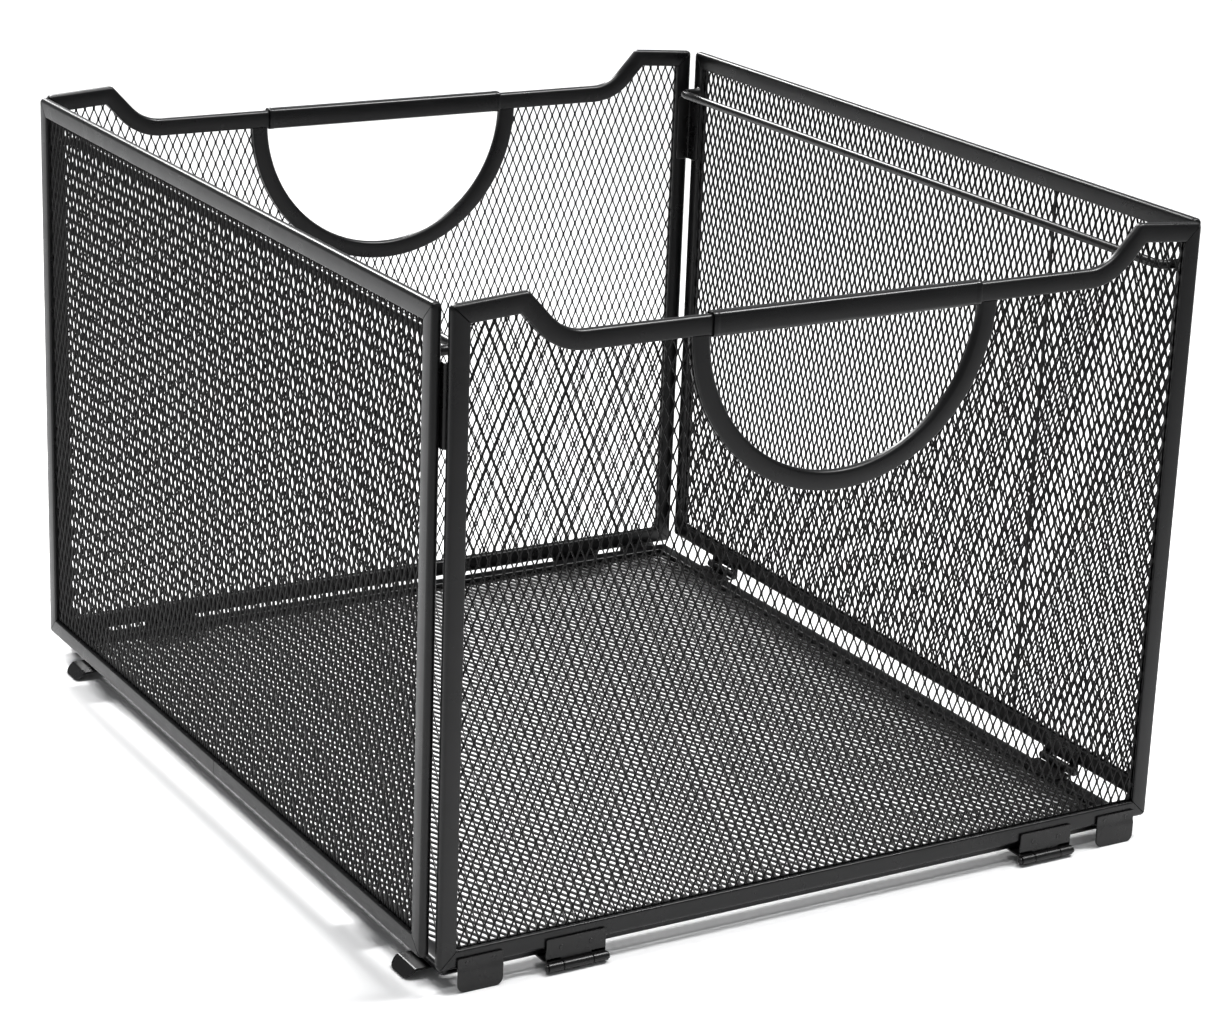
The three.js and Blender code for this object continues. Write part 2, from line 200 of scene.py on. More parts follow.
# ---------------------------------------------------------------- materials

def node_material(name):
    material = bpy.data.materials.new(name)
    material.use_nodes = True
    return material, material.node_tree.nodes, material.node_tree.links


def noise(nodes, links, scale, detail, roughness=0.5):
    place = nodes.new("ShaderNodeTexCoord")
    texture = nodes.new("ShaderNodeTexNoise")
    texture.inputs["Scale"].default_value = scale
    texture.inputs["Detail"].default_value = detail
    texture.inputs["Roughness"].default_value = roughness
    links.new(place.outputs["Object"], texture.inputs["Vector"])
    return texture


def ranged(nodes, links, value, low, high):
    """A noise value spread over a range."""
    spread = nodes.new("ShaderNodeMapRange")
    spread.inputs["From Min"].default_value = NOISE_RANGE[0]
    spread.inputs["From Max"].default_value = NOISE_RANGE[1]
    spread.inputs["To Min"].default_value = low
    spread.inputs["To Max"].default_value = high
    links.new(value, spread.inputs["Value"])
    return spread.outputs["Result"]


def coat(name, dark, light, gloss, peel, specular):
    """Baked powder coat: patchy near-black colour and gloss, with a fine orange peel."""
    material, nodes, links = node_material(name)
    shader = nodes["Principled BSDF"]
    shader.inputs["Specular IOR Level"].default_value = specular
    patches = noise(nodes, links, PATCH_SCALE, 4)
    ramp = nodes.new("ShaderNodeValToRGB")
    ramp.color_ramp.elements[0].position = RAMP_ENDS[0]
    ramp.color_ramp.elements[0].color = (*dark, 1)
    ramp.color_ramp.elements[1].position = RAMP_ENDS[1]
    ramp.color_ramp.elements[1].color = (*light, 1)
    links.new(patches.outputs["Fac"], ramp.inputs["Fac"])
    links.new(ramp.outputs["Color"], shader.inputs["Base Color"])
    cloud = noise(nodes, links, CLOUD_SCALE, 3)
    links.new(ranged(nodes, links, cloud.outputs["Fac"], *gloss), shader.inputs["Roughness"])
    grain = noise(nodes, links, GRAIN_SCALE, 3, 0.6)
    bump = nodes.new("ShaderNodeBump")
    bump.inputs["Strength"].default_value = peel
    bump.inputs["Distance"].default_value = PEEL_DEPTH * MM
    links.new(grain.outputs["Fac"], bump.inputs["Height"])
    links.new(bump.outputs["Normal"], shader.inputs["Normal"])
    return material


def floor_material():
    material, nodes, links = node_material("pale_table")
    shader = nodes["Principled BSDF"]
    shader.inputs["Specular IOR Level"].default_value = 0.2
    cloud = noise(nodes, links, FLOOR_SCALE, 2)
    ramp = nodes.new("ShaderNodeValToRGB")
    ramp.color_ramp.elements[0].color = FLOOR_COLORS[0]
    ramp.color_ramp.elements[1].color = FLOOR_COLORS[1]
    links.new(cloud.outputs["Fac"], ramp.inputs["Fac"])
    links.new(ramp.outputs["Color"], shader.inputs["Base Color"])
    links.new(ranged(nodes, links, cloud.outputs["Fac"], *FLOOR_GLOSS), shader.inputs["Roughness"])
    return material


# Material slot: name, dark and light colour, range of roughness, orange peel, specular level.
COATS = {
    "rim_coat": coat(
        "rim_powder_coat", (0.0030, 0.0030, 0.0034), (0.0052, 0.0050, 0.0054), (0.26, 0.34), 0.30, 0.29),
    "mesh_coat": coat(
        "mesh_powder_coat", (0.0034, 0.0032, 0.0034), (0.0060, 0.0056, 0.0058), (0.40, 0.52), 0.35, 0.22),
    "hardware_coat": coat(
        "hardware_coat", (0.0036, 0.0034, 0.0036), (0.0062, 0.0058, 0.0060), (0.24, 0.33), 0.25, 0.32),
    "grip_sleeve": coat(
        "grip_plastic", (0.0026, 0.0026, 0.0030), (0.0040, 0.0040, 0.0044), (0.21, 0.28), 0.14, 0.32),
}


# ---------------------------------------------------------------- mesh making

def add_piece(name, parts, wall, body, slot, nodes):
    """Joins (vertices, faces) parts, in millimetres, into one piece that rides on a body."""
    mesh = bpy.data.meshes.new(name)
    points, faces, start = [], [], 0
    for vertices, part_faces in parts:
        points.append(np.asarray(vertices, float))
        faces.extend([[int(i) + start for i in face] for face in part_faces])
        start += len(vertices)
    mesh.from_pydata((np.concatenate(points) * MM).tolist(), [], faces)
    mesh.validate()
    mesh.transform(turn_of(wall))
    shape = bmesh.new()
    shape.from_mesh(mesh)
    bmesh.ops.recalc_face_normals(shape, faces=shape.faces)
    shape.to_mesh(mesh)
    shape.free()
    mesh.shade_smooth()
    mesh.set_sharp_from_angle(angle=SHARP_ANGLE)
    attach(name, mesh, body, slot, nodes)


def attach(name, mesh, body, slot, nodes):
    mesh.materials.append(COATS[slot])
    piece = bpy.data.objects.new(name, mesh)
    bpy.context.scene.collection.objects.link(piece)
    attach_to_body(piece, body)
    if nodes:
        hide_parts(*nodes)


def skin(rings, closed):
    """A skin over rings of points. A closed one runs back to its first ring, and an open one is capped."""
    rings = np.asarray(rings, float)
    count, around = rings.shape[:2]
    ids = np.arange(count * around).reshape(count, around)
    here = ids if closed else ids[:-1]
    there = np.roll(ids, -1, axis=0) if closed else ids[1:]
    quads = np.stack([here, np.roll(here, -1, axis=1), np.roll(there, -1, axis=1), there], axis=-1)
    faces = quads.reshape(-1, 4).tolist()
    if not closed:
        faces += [ids[0].tolist(), ids[-1].tolist()]
    return rings.reshape(-1, 3), faces


def arc(centre, radius, start, end, steps):
    """Points of an arc, with its angles in degrees."""
    angles = np.radians(np.linspace(start, end, steps + 1))
    return [(centre[0] + radius * math.cos(a), centre[1] + radius * math.sin(a)) for a in angles]


def circle(centre, radius, count):
    return arc(centre, radius, 0, 360 - 360 / count, count - 1)


def channel_section(width, thickness):
    """Half-open channel that grips the mesh: (distance in from its outer edge, height off mid-plane)."""
    half = thickness / 2
    upper = arc((FOLD_RADIUS, half - FOLD_RADIUS), FOLD_RADIUS, 180, 90, 5)
    upper += arc((width - LIP_RADIUS, half - LIP_RADIUS), LIP_RADIUS, 90, 0, 3)
    upper += [(width, SLOT_HALF), (width - SLOT_DEPTH, SLOT_HALF)]
    lower = [(u, -v) for u, v in reversed(upper)]
    return upper + lower


def drawn_in(section, width):
    """The section where a mitre line crosses it."""
    middle = width / 2
    return [(middle + (u - middle) * (1 - GROOVE_SHRINK / 2), v * (1 - GROOVE_SHRINK)) for u, v in section]


# ---------------------------------------------------------------- outlines

# Where rings stand round a corner, in millimetres from its middle.
MITRE_STOPS = [-3.4, -2.2, -1.4, -0.8, -GROOVE_HALF, 0, GROOVE_HALF, 0.8, 1.4, 2.2, 3.4]
EAR_STOPS = [-1.5, -1.1, -0.7, -0.35, 0, 0.35, 0.7, 1.1, 1.5]
SEAM_STOPS = [-GROOVE_HALF, 0, GROOVE_HALF]
DROP_STEPS = 14


class Corner:
    """One corner of an outline that runs anticlockwise, which can be followed at any depth inside it."""

    def __init__(self, before, point, after, radius, kind):
        self.point = np.array(point, float)
        self.way_in = self._unit(self.point - np.array(before, float))
        self.way_out = self._unit(np.array(after, float) - self.point)
        normal_in = np.array([-self.way_in[1], self.way_in[0]])
        normal_out = np.array([-self.way_out[1], self.way_out[0]])
        self.inward = (normal_in + normal_out) / (1 + normal_in @ normal_out)
        self.middle = self._unit(normal_in + normal_out)
        cross = self.way_in[0] * self.way_out[1] - self.way_in[1] * self.way_out[0]
        turn = math.atan2(cross, self.way_in @ self.way_out)
        self.side = 1 if turn >= 0 else -1
        self.turn = abs(turn)
        self.radius = radius
        self.kind = kind

    @staticmethod
    def _unit(vector):
        return vector / np.linalg.norm(vector)

    def stops(self):
        """Where along the corner a ring stands: millimetres from its middle, or shares of its arc."""
        if self.kind == "drop":
            return np.linspace(-1, 1, DROP_STEPS + 1)
        return {"mitre": MITRE_STOPS, "ear": EAR_STOPS, "seam": SEAM_STOPS}[self.kind]

    def at(self, stop, depth):
        """The point at a stop, some depth inside the outline."""
        radius = max(self.radius - self.side * depth, 0)
        half_arc = radius * self.turn / 2
        reach = radius * math.tan(self.turn / 2)
        corner = self.point + self.inward * depth
        along = stop * half_arc if self.kind == "drop" else stop
        if radius > 0 and abs(along) <= half_arc + 1e-9:
            centre = corner + self.side * self.middle * radius / math.cos(self.turn / 2)
            angle = self.side * along / radius
            c, s = math.cos(angle), math.sin(angle)
            x, z = self.middle
            spoke = np.array([c * x - s * z, s * x + c * z])
            return centre - self.side * radius * spoke
        if along > 0:
            return corner + self.way_out * (reach + along - half_arc)
        return corner - self.way_in * (reach - along - half_arc)


def outline(points, radii, kinds):
    count = len(points)
    return [
        Corner(points[i - 1], points[i], points[(i + 1) % count], radii[i], kinds[i]) for i in range(count)
    ]


def carried_round(corners, section, width):
    """Rings of a section carried round an outline: (across, off mid-plane, up)."""
    rings = []
    for corner in corners:
        for stop in corner.stops():
            grooved = corner.kind in ("mitre", "seam") and stop == 0
            shape = drawn_in(section, width) if grooved else section
            places = [corner.at(stop, u) for u, _ in shape]
            rings.append([(x, v, z) for (x, z), (_, v) in zip(places, shape)])
    return rings


def end_profile(wall, low, high):
    """Corners of the right half of an end panel's top edge: (half width, ear x and z, bar x and z)."""
    half, ear_z = (high[0] - low[0]) / 2, high[2]
    ear_x = half - EAR_LENGTH
    bar_z = wall_box(f"{wall}_handle_grip", wall)[1][2] - GRIP_COVER
    bar_x = ear_x - (ear_z - bar_z) / math.tan(DROP_ANGLE)
    return half, ear_x, ear_z, bar_x, bar_z


def end_outline(wall, low, high):
    """Outline of an end panel: two raised ears, and a handle bar dropped between them."""
    half, ear_x, ear_z, bar_x, bar_z = end_profile(wall, low, high)
    points = [
        (-half, low[2]), (half, low[2]), (half, ear_z - EAR_RISE), (ear_x, ear_z),
        (bar_x, bar_z), (-bar_x, bar_z), (-ear_x, ear_z), (-half, ear_z - EAR_RISE),
    ]
    radii = [CORNER_RADIUS] * 3 + [EAR_RADIUS, DROP_RADIUS, DROP_RADIUS, EAR_RADIUS, CORNER_RADIUS]
    kinds = ["mitre"] * 3 + ["ear", "drop", "drop", "ear", "mitre"]
    return outline(points, radii, kinds)


def rectangle_outline(x0, z0, x1, z1, seam=False):
    """A rectangle, with the channel's closing seam half way along its lower side if asked for."""
    points = [(x0, z0), (x1, z0), (x1, z1), (x0, z1)]
    radii, kinds = [CORNER_RADIUS] * 4, ["mitre"] * 4
    if seam:
        points.insert(1, ((x0 + x1) / 2, z0))
        radii.insert(1, 0)
        kinds.insert(1, "seam")
    return outline(points, radii, kinds)


# ---------------------------------------------------------------- expanded metal

def diamond_hole():
    """The eight corners of one hole about its centre, anticlockwise from the lower right one."""
    across, up = DIAMOND_WIDTH / 2, DIAMOND_HEIGHT / 2
    reach = across * up / math.hypot(across, up)
    scale = (reach - STRAND_WIDTH / 2) / reach
    side_x = across * scale * (1 - BOND_HALF_HEIGHT / (up * scale))
    tip_z = up * scale * (1 - BOND_HALF_WIDTH / (across * scale))
    right = [(side_x, -BOND_HALF_HEIGHT), (side_x, BOND_HALF_HEIGHT), (BOND_HALF_WIDTH, tip_z)]
    left = [(-BOND_HALF_WIDTH, tip_z), (-side_x, BOND_HALF_HEIGHT), (-side_x, -BOND_HALF_HEIGHT)]
    return np.array(right + left + [(-BOND_HALF_WIDTH, -tip_z), (BOND_HALF_WIDTH, -tip_z)])


def half_pitch_grid(x0, x1, z0, z1):
    """Places half a pitch apart over a box, holes at the even ones and bonds at the others.

    It gives the places, which of them are even, and which of those have a bond on all four sides.
    """
    step_x, step_z = DIAMOND_WIDTH / 2, DIAMOND_HEIGHT / 2
    columns, rows = int((x1 - x0) / step_x) + 3, int((z1 - z0) / step_z) + 3
    start_x = (x0 + x1) / 2 - (columns // 2) * step_x
    start_z = (z0 + z1) / 2 - (rows // 2) * step_z
    j, i = np.meshgrid(np.arange(rows), np.arange(columns))
    even = (i + j) % 2 == 0
    whole = even & (i > 0) & (i < columns - 1) & (j > 0) & (j < rows - 1)
    return np.stack([start_x + i * step_x, start_z + j * step_z], axis=-1), even, whole


def front_faces(even, whole):
    """Faces of a sheet's front, a row of vertex numbers each, with -1 as the fourth of a triangle.

    Vertices run: the bonds on the front, the bonds on the back, then the eight round each hole.
    """
    bond_count = (~even).sum()
    bonds = np.full(even.shape, -1)
    bonds[~even] = np.arange(bond_count)
    i, j = np.nonzero(whole)
    right, top, left, bottom = bonds[i + 1, j], bonds[i, j + 1], bonds[i - 1, j], bonds[i, j - 1]
    first = 2 * bond_count + 8 * np.arange(len(i))
    triangles = [(0, right, 1), (2, top, 3), (4, left, 5), (6, bottom, 7)]
    quads = [(1, right, top, 2), (3, top, left, 4), (5, left, bottom, 6), (7, bottom, right, 0)]
    faces = []
    for a, near, b in triangles:
        faces.append(np.stack([first + a, near, first + b, np.full_like(first, -1)], axis=1))
    for a, near, far, b in quads:
        faces.append(np.stack([first + a, near, far, first + b], axis=1))
    return np.concatenate(faces)


def closed_faces(front, bond_count):
    """The front's faces, the same ones on the back, and walls between the two at cut edges."""
    def behind(vertex):
        return vertex + bond_count if vertex < bond_count else vertex

    faces = [[v for v in face if v >= 0] for face in front.tolist()]
    back = [[behind(v) for v in reversed(face)] for face in faces]
    walls = []
    for a, b in cut_edges(faces, bond_count):
        walls.append([b, a] + [behind(v) for v in (a, b) if v < bond_count])
    return faces + back + walls


def expanded_metal(x0, x1, z0, z1, inside, twist):
    """A closed sheet of expanded metal, long way up, kept where inside() says: (x, off mid-plane, z).

    A strand runs between two holes, with a ridge on each face that joins its bonds. It is twisted, as
    cut and drawn strands are, and its ridges stand square to it, so that it never vanishes edge-on.
    """
    grid, even, whole = half_pitch_grid(x0, x1, z0, z1)
    bond_places, hole = grid[~even], diamond_hole()
    bond_count = len(bond_places)
    edges = (grid[whole][:, None, :] + hole[None]).reshape(-1, 2)
    edge_depth = np.tile(-twist * np.sign(hole[:, 0]), whole.sum())
    places = np.concatenate([bond_places, bond_places, edges])

    good = inside(places[:, 0], places[:, 1])
    front = front_faces(even, whole)
    front = front[(good[front] | (front < 0)).all(1)]

    slant = 2 * math.hypot(2 * twist, STRAND_WIDTH) / STRAND_THICKNESS
    shift, rise = 2 * twist / slant, STRAND_WIDTH / slant
    bond, edge = np.ones(bond_count), np.zeros(len(edges))
    across = np.concatenate([shift * bond, -shift * bond, edge])
    depth = np.concatenate([-rise * bond, rise * bond, edge_depth])
    vertices = np.stack([places[:, 0] + across, depth, places[:, 1]], axis=1)
    return compact(vertices, closed_faces(front, bond_count))


def cut_edges(faces, bond_count):
    """Edges of one face only that aren't the rim of a hole."""
    seen = set()
    for face in faces:
        for a, b in zip(face, face[1:] + face[:1]):
            if a < bond_count or b < bond_count:
                seen.add((a, b))
    return [(a, b) for a, b in sorted(seen) if (b, a) not in seen]


def compact(vertices, faces):
    """Leaves out the vertices that no face uses."""
    used = np.unique(np.concatenate([np.array(face) for face in faces]))
    place = np.full(len(vertices), -1)
    place[used] = np.arange(len(used))
    return vertices[used], [[int(place[v]) for v in face] for face in faces]


def add_lattice(name, sheet, wall, body, node, lie_down=False, mid=0.0):
    """Makes a sheet of expanded metal. It isn't sent through add_piece, because it is large."""
    vertices, faces = sheet
    vertices = vertices + np.array([0, mid, 0])
    mesh = bpy.data.meshes.new(name)
    mesh.from_pydata((vertices * MM).tolist(), [], faces)
    if lie_down:
        mesh.transform(Matrix.Rotation(math.radians(-90), 4, "X"))
    mesh.transform(turn_of(wall))
    mesh.shade_smooth()
    attach(name, mesh, body, "mesh_coat", [node])


# ---------------------------------------------------------------- bent sheet

def bent_strip(path, half_width, thickness, rounds):
    """A strip of sheet that follows a path, with rounded corners at its two ends: (across, a, b)."""
    path = np.array(path, float)
    steps = np.linalg.norm(np.diff(path, axis=0), axis=1)
    marks = np.concatenate([[0], np.cumsum(steps)])
    length = marks[-1]
    quarter = 1 - np.cos(np.radians(np.arange(0, 91, 15)))
    stops = set(marks.tolist()) | {EDGE, length - EDGE}
    stops |= set((rounds[0] * quarter).tolist()) | set((length - rounds[1] * quarter).tolist())
    stops = sorted({round(stop, 4) for stop in stops if -1e-6 <= stop <= length + 1e-6})
    rings = []
    for stop in stops:
        point = np.array([np.interp(stop, marks, path[:, k]) for k in (0, 1)])
        ahead = np.array([np.interp(stop + LOOK, marks, path[:, k]) for k in (0, 1)])
        behind = np.array([np.interp(stop - LOOK, marks, path[:, k]) for k in (0, 1)])
        way = (ahead - behind) / np.linalg.norm(ahead - behind)
        normal = np.array([-way[1], way[0]])
        width = half_width
        for radius, distance in ((rounds[0], stop), (rounds[1], length - stop)):
            if distance < radius:
                width -= radius - math.sqrt(max(radius**2 - (radius - distance) ** 2, 0))
        draw = EDGE if min(stop, length - stop) < EDGE / 2 else 0
        half, width = thickness / 2 - draw, max(width - draw, EDGE * 1.1)
        section = [
            (EDGE - width, -half), (-width, EDGE - half), (-width, half - EDGE), (EDGE - width, half),
            (width - EDGE, half), (width, half - EDGE), (width, EDGE - half), (width - EDGE, -half),
        ]
        rings.append([(w, *(point + normal * n)) for w, n in section])
    return skin(rings, closed=False)


def weld_mark(x, z, face, outward=-1):
    """A small spot-weld mark on an upright face: a raised lip round a dish."""
    rings = []
    for radius, height in WELD_PROFILE:
        ring = circle((x, z), radius, WELD_SIDES)
        rings.append([(a, face + outward * height, b) for a, b in ring])
    return skin(rings, closed=False)


def moved(part, x=0.0, y=0.0, z=0.0):
    vertices, faces = part
    return np.asarray(vertices) + np.array([x, y, z]), faces


def flipped(part, axis):
    vertices, faces = part
    vertices = np.array(vertices)
    vertices[:, axis] *= -1
    return vertices, faces


# ---------------------------------------------------------------- walls

def panel_rim(wall, corners, mid, thickness, body):
    section = channel_section(RIM_WIDTH, thickness)
    rings = [[(x, v + mid, z) for x, v, z in ring] for ring in carried_round(corners, section, RIM_WIDTH)]
    part = skin(rings, closed=True)
    add_piece(f"{wall}_channel_rim", [part], wall, body, "rim_coat", [f"{wall}_frame"])


def end_metal(wall, low, high, mid, body):
    """Expanded metal of an end panel: it stops under the rim and at the hand hole's trim."""
    half, ear_x, ear_z, bar_x, bar_z = end_profile(wall, low, high)
    hole_z = hole_centre(wall)

    def inside(x, z):
        x = np.abs(x)
        ear = ear_z - EAR_RISE * (x - ear_x) / EAR_LENGTH
        drop = bar_z + np.maximum(x - bar_x, 0) * math.tan(DROP_ANGLE)
        below_top = z < np.minimum(ear, drop) - MESH_MARGIN
        in_hole = np.hypot(x, z - hole_z) < HOLE_RADIUS + HOLE_MARGIN
        return (x < half - MESH_MARGIN) & (z > low[2] + MESH_MARGIN) & below_top & ~in_hole

    sheet = expanded_metal(low[0], high[0], low[2], high[2], inside, TWISTS[wall])
    add_lattice(f"{wall}_expanded_metal", sheet, wall, body, f"{wall}_mesh", mid=mid)


def hole_centre(wall):
    return wall_box(f"{wall}_handle_trim", wall)[1][2] + TRIM_DROP


def hole_trim(wall, mid, thickness, body):
    """The half ring round the hand hole: a channel with its fold at the hole and its legs up at the bar."""
    centre = hole_centre(wall)
    section = channel_section(TRIM_WIDTH, thickness)
    rings = []
    for share in np.linspace(0, 1, TRIM_STEPS + 1):
        ring = []
        for u, v in section:
            radius = HOLE_RADIUS + u
            start = -math.asin(TRIM_TOUCH / radius)
            angle = start + share * (-math.pi - 2 * start)
            ring.append((radius * math.cos(angle), mid + v, centre + radius * math.sin(angle)))
        rings.append(ring)
    part = skin(rings, closed=False)
    add_piece(f"{wall}_hole_trim", [part], wall, body, "rim_coat", [f"{wall}_handle_trim"])


def grip_loop(half_y, half_z, shrink):
    """The grip sleeve's rounded section about its middle, drawn in all round."""
    y, z = half_y - shrink, half_z - shrink
    radius = max(GRIP_ROUND - shrink, GRIP_LEAST_ROUND)
    points = []
    for side_y, side_z, start in ((1, 1, 0), (-1, 1, 90), (-1, -1, 180), (1, -1, 270)):
        centre = (side_y * (y - radius), side_z * (z - radius))
        points += arc(centre, radius, start, start + 90, 4)
    return points


def grip_sleeve(wall, body):
    """The moulded sleeve round the handle bar, with a softened collar a little proud of it at each end."""
    low, high = wall_box(f"{wall}_handle_grip", wall)
    half_y, half_z = (high[1] - low[1]) / 2, (high[2] - low[2]) / 2
    mid_y, mid_z = (high[1] + low[1]) / 2, (high[2] + low[2]) / 2
    stops = [(inset - high[0], shrink) for inset, shrink in GRIP_END]
    stops += [(-x, shrink) for x, shrink in reversed(stops)]
    rings = []
    for x, shrink in stops:
        rings.append([(x, mid_y + y, mid_z + z) for y, z in grip_loop(half_y, half_z, shrink)])
    part = skin(rings, closed=True)
    add_piece(f"{wall}_grip_sleeve", [part], wall, body, "grip_sleeve", [f"{wall}_handle_grip"])


def end_foot(wall, end, body):
    """A pressed tab on the outside of the rim: weld marks near its top, a jog, and round below."""
    low, high = wall_box(f"{wall}_foot_{end}", wall)
    x, y = (low[0] + high[0]) / 2, (low[1] + high[1]) / 2
    path = [
        (y + FOOT_JOG, high[2]), (y + FOOT_JOG, FOOT_JOG_Z + FOOT_JOG_HALF),
        (y - FOOT_JOG, FOOT_JOG_Z - FOOT_JOG_HALF), (y - FOOT_JOG, 0),
    ]
    plate = bent_strip(path, (high[0] - low[0]) / 2, FOOT_SHEET, (FOOT_TOP_CORNER, FOOT_CORNER))
    parts = [moved(plate, x=x)]
    for side in (-1, 1):
        face = y + FOOT_JOG - FOOT_SHEET / 2
        parts.append(weld_mark(x + side * FOOT_WELD_SIDE, high[2] - FOOT_WELD_DROP, face))
    add_piece(f"{wall}_foot_tab_{end}", parts, wall, body, "hardware_coat", [f"{wall}_foot_{end}"])


def hinge(wall, end, side, body):
    """Two leaves rolled round a pin, which on a side wall (side -1) lie on the other side of it."""
    name = f"{wall}_hinge_{end}"
    pin_low, pin_high = wall_box(f"{name}_pin", wall)
    leaf_low, leaf_high = wall_box(f"{name}_panel_leaf", wall)
    centre = (pin_low + pin_high) / 2
    half = (leaf_high[0] - leaf_low[0]) / 2
    panel_leaf(name, wall, half, leaf_high[2] - centre[2], centre, side, body)
    base_leaf(name, wall, half, centre, side)
    hinge_pin(name, wall, (pin_high[0] - pin_low[0]) / 2, centre, body)


def panel_leaf(name, wall, half, height, centre, side, body):
    """An upright leaf with the two outer knuckles. Its weld marks show only on an end wall."""
    knuckle_half = (half / 2 - KNUCKLE_GAP / 2) / 2
    path = [(KNUCKLE_MID, KNUCKLE_CLEAR + KNUCKLE_LAP), (KNUCKLE_MID, KNUCKLE_FLAT)]
    path += arc((0, 0), KNUCKLE_MID, 0, -KNUCKLE_TURN, KNUCKLE_STEPS)
    knuckle = bent_strip(path, knuckle_half, SHEET, (EDGE, EDGE))
    flat = [(KNUCKLE_MID, height), (KNUCKLE_MID, KNUCKLE_CLEAR)]
    parts = [bent_strip(flat, half, SHEET, (LEAF_CORNER, LEAF_ROOT_CORNER))]
    parts += [moved(knuckle, x=way * (half - knuckle_half)) for way in (-1, 1)]
    if side > 0:
        for way in (-1, 1):
            parts.append(weld_mark(way * half / 2, height - LEAF_WELD_DROP, KNUCKLE_MID - SHEET / 2))
    else:
        parts = [flipped(part, 1) for part in parts]
    placed = [moved(part, *centre) for part in parts]
    add_piece(f"{name}_rolled_leaf", placed, wall, body, "hardware_coat", [f"{name}_panel_leaf"])


def base_leaf(name, wall, half, centre, side):
    """A leaf that lies along the base, with the middle knuckle."""
    reach = wall_box(f"{name}_base_leaf", wall)[1][1] - centre[1]
    path = [(KNUCKLE_CLEAR + KNUCKLE_LAP, KNUCKLE_MID), (KNUCKLE_FLAT, KNUCKLE_MID)]
    path += arc((0, 0), KNUCKLE_MID, 90, 90 + KNUCKLE_TURN, KNUCKLE_STEPS)
    flat = [(reach, KNUCKLE_MID), (KNUCKLE_CLEAR, KNUCKLE_MID)]
    parts = [
        bent_strip(flat, half, SHEET, (LEAF_CORNER, LEAF_ROOT_CORNER)),
        bent_strip(path, half / 2 - KNUCKLE_GAP / 2, SHEET, (EDGE, EDGE)),
    ]
    if side < 0:
        parts = [flipped(part, 2) for part in parts]
    placed = [moved(part, *centre) for part in parts]
    add_piece(f"{name}_base_plate", placed, wall, "base", "hardware_coat", [f"{name}_base_leaf"])


def hinge_pin(name, wall, half, centre, body):
    """A pin with a flat-domed head at each end."""
    head = [(inset - half, radius) for inset, radius in PIN_HEAD]
    neck = head[-1][0]
    profile = head + [(neck, PIN_RADIUS), (-neck, PIN_RADIUS)]
    profile += [(-along, radius) for along, radius in reversed(head)]
    rings = [[(along, a, b) for a, b in circle((0, 0), radius, PIN_SIDES)] for along, radius in profile]
    part = moved(skin(rings, closed=False), *centre)
    add_piece(f"{name}_steel_pin", [part], wall, body, "hardware_coat", [f"{name}_pin"])


def end_wall(wall):
    body = f"{wall}_panel"
    low, high = wall_box(f"{wall}_frame", wall)
    mid, thickness = (low[1] + high[1]) / 2, high[1] - low[1]
    panel_rim(wall, end_outline(wall, low, high), mid, thickness, body)
    end_metal(wall, low, high, mid, body)
    hole_trim(wall, mid, thickness, body)
    grip_sleeve(wall, body)
    for end in ENDS[wall]:
        end_foot(wall, end, body)
        hinge(wall, end, 1, body)


# ---------------------------------------------------------------- side walls

def side_metal(wall, low, high, mid, body):
    def inside(x, z):
        tall = (z > low[2] + MESH_MARGIN) & (z < high[2] - MESH_MARGIN)
        return (abs(x) < high[0] - MESH_MARGIN) & tall

    sheet = expanded_metal(low[0], high[0], low[2], high[2], inside, TWISTS[wall])
    add_lattice(f"{wall}_expanded_metal", sheet, wall, body, f"{wall}_mesh", mid=mid)


def mesh_join(low, high, mid):
    """The right panel's mesh is in two lengths, welded together along an upright line."""
    path = [(mid, low[2] + RIM_WIDTH - SLOT_DEPTH), (mid, high[2] - RIM_WIDTH + SLOT_DEPTH)]
    strip = bent_strip(path, JOIN_WIDTH / 2, JOIN_THICKNESS, (JOIN_CORNER, JOIN_CORNER))
    add_piece("right_mesh_join", [moved(strip, x=JOIN_PLACE)], "right", "right_panel", "mesh_coat", [])


def rail_path(low, high):
    """Centre line of a file rail, from one end on the wall to the other: (along, inward)."""
    x, wall_y, rail_y = high[0] - RAIL_RADIUS, low[1], high[1] - RAIL_RADIUS
    bend = arc((x - RAIL_BEND, rail_y - RAIL_BEND), RAIL_BEND, 0, 90, 8)
    one_end = [(x, wall_y), (x, wall_y + RAIL_STUB), *bend]
    return one_end + [(-a, b) for a, b in reversed(one_end)]


def file_rail(wall, body):
    """A round rod bent in to the wall at both ends, with a small weld fillet where it meets it."""
    low, high = wall_box(f"{wall}_file_rail", wall)
    z = (low[2] + high[2]) / 2
    path = np.array(rail_path(low, high))
    rings = []
    for i, point in enumerate(path):
        way = path[min(i + 1, len(path) - 1)] - path[max(i - 1, 0)]
        way = way / np.linalg.norm(way)
        side = np.array([-way[1], way[0]])
        radius = RAIL_RADIUS + (RAIL_FILLET if i in (0, len(path) - 1) else 0)
        ring = [(*(point + side * a), z + b) for a, b in circle((0, 0), radius, RAIL_SIDES)]
        rings.append(ring)
    part = skin(rings, closed=False)
    add_piece(f"{wall}_rail_rod", [part], wall, body, "hardware_coat", [f"{wall}_file_rail"])


